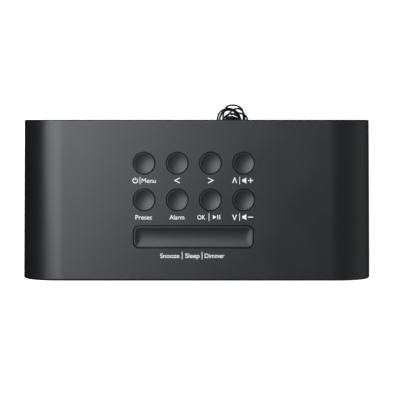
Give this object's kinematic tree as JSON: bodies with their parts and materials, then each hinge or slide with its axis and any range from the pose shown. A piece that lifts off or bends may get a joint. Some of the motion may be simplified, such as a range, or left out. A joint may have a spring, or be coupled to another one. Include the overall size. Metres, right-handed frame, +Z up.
{
  "type": "clock radio",
  "caption": "Bedside clock radio with a rounded wrap-around cabinet, round dished keys, a long snooze bar, front display, side loudspeakers and a coiled wire antenna.",
  "frame": {"origin": "on the table under the middle of the cabinet's box", "axes": "+X to the right seen from the front, +Y to the back, +Z up"},
  "size_m": [0.21, 0.1063, 0.0805],
  "materials": {
    "cabinet_plastic": "satin black moulded plastic",
    "panel_plastic": "fine-grained black moulded plastic",
    "key_plastic": "satin black moulded plastic",
    "white_plastic": "natural white moulded plastic",
    "part_plastic": "black moulded component plastic",
    "board": "green solder mask on glass-fibre board",
    "ribbon": "grey flat cable",
    "lens": "smoked polished acrylic",
    "display": "liquid crystal display glass",
    "cloth": "black acoustic cloth",
    "steel": "zinc-plated steel",
    "black_steel": "black-coated steel screws",
    "cone": "black treated paper",
    "aluminium": "sleeved aluminium can",
    "rubber": "black rubber",
    "wire": "black soft PVC insulation"
  },
  "bodies": {
    "cabinet": {"cabinet": "cabinet_plastic", "front_panel": "panel_plastic", "rear_panel": "panel_plastic", "grille_left": "panel_plastic", "grille_right": "panel_plastic", "display_frame": "white_plastic", "cable_headers": "white_plastic", "key_switches": "part_plastic", "dc_jack": "part_plastic", "headphone_jack": "part_plastic", "board_chips": "part_plastic", "key_board": "board", "display_board": "board", "main_board": "board", "display_ribbon": "ribbon", "key_ribbon": "ribbon", "display_lens": "lens", "display_panel": "display", "grille_cloth_left": "cloth", "grille_cloth_right": "cloth", "speaker_frame_left": "steel", "speaker_frame_right": "steel", "speaker_magnet_left": "steel", "speaker_magnet_right": "steel", "speaker_screws": "steel", "key_board_screws": "steel", "main_board_screws": "steel", "tuner_module": "steel", "rear_screws": "black_steel", "speaker_cone_left": "cone", "speaker_cone_right": "cone", "board_capacitors": "aluminium", "feet": "rubber", "antenna_grommet": "rubber", "speaker_surround_left": "rubber", "speaker_surround_right": "rubber", "antenna_wire": "wire", "antenna_coil": "wire", "antenna_tie": "wire"},
    "power_key": {"key_power": "key_plastic", "plunger_power": "white_plastic"},
    "previous_key": {"key_previous": "key_plastic", "plunger_previous": "white_plastic"},
    "next_key": {"key_next": "key_plastic", "plunger_next": "white_plastic"},
    "up_key": {"key_up": "key_plastic", "plunger_up": "white_plastic"},
    "preset_key": {"key_preset": "key_plastic", "plunger_preset": "white_plastic"},
    "alarm_key": {"key_alarm": "key_plastic", "plunger_alarm": "white_plastic"},
    "ok_key": {"key_ok": "key_plastic", "plunger_ok": "white_plastic"},
    "down_key": {"key_down": "key_plastic", "plunger_down": "white_plastic"},
    "snooze": {"snooze_bar": "key_plastic", "plungers_snooze": "white_plastic"}
  },
  "joints": [
    {"name": "power_key_press", "type": "slide", "parent": "cabinet", "child": "power_key", "axis": [0, 0, -1], "range_m": [0, 0.0005], "stiffness_N_per_m": 1200, "springref_m": -0.0005},
    {"name": "previous_key_press", "type": "slide", "parent": "cabinet", "child": "previous_key", "axis": [0, 0, -1], "range_m": [0, 0.0005], "stiffness_N_per_m": 1200, "springref_m": -0.0005},
    {"name": "next_key_press", "type": "slide", "parent": "cabinet", "child": "next_key", "axis": [0, 0, -1], "range_m": [0, 0.0005], "stiffness_N_per_m": 1200, "springref_m": -0.0005},
    {"name": "up_key_press", "type": "slide", "parent": "cabinet", "child": "up_key", "axis": [0, 0, -1], "range_m": [0, 0.0005], "stiffness_N_per_m": 1200, "springref_m": -0.0005},
    {"name": "preset_key_press", "type": "slide", "parent": "cabinet", "child": "preset_key", "axis": [0, 0, -1], "range_m": [0, 0.0005], "stiffness_N_per_m": 1200, "springref_m": -0.0005},
    {"name": "alarm_key_press", "type": "slide", "parent": "cabinet", "child": "alarm_key", "axis": [0, 0, -1], "range_m": [0, 0.0005], "stiffness_N_per_m": 1200, "springref_m": -0.0005},
    {"name": "ok_key_press", "type": "slide", "parent": "cabinet", "child": "ok_key", "axis": [0, 0, -1], "range_m": [0, 0.0005], "stiffness_N_per_m": 1200, "springref_m": -0.0005},
    {"name": "down_key_press", "type": "slide", "parent": "cabinet", "child": "down_key", "axis": [0, 0, -1], "range_m": [0, 0.0005], "stiffness_N_per_m": 1200, "springref_m": -0.0005},
    {"name": "snooze_press", "type": "slide", "parent": "cabinet", "child": "snooze", "axis": [0, 0, -1], "range_m": [0, 0.0005], "stiffness_N_per_m": 2000, "springref_m": -0.0005}
  ]
}
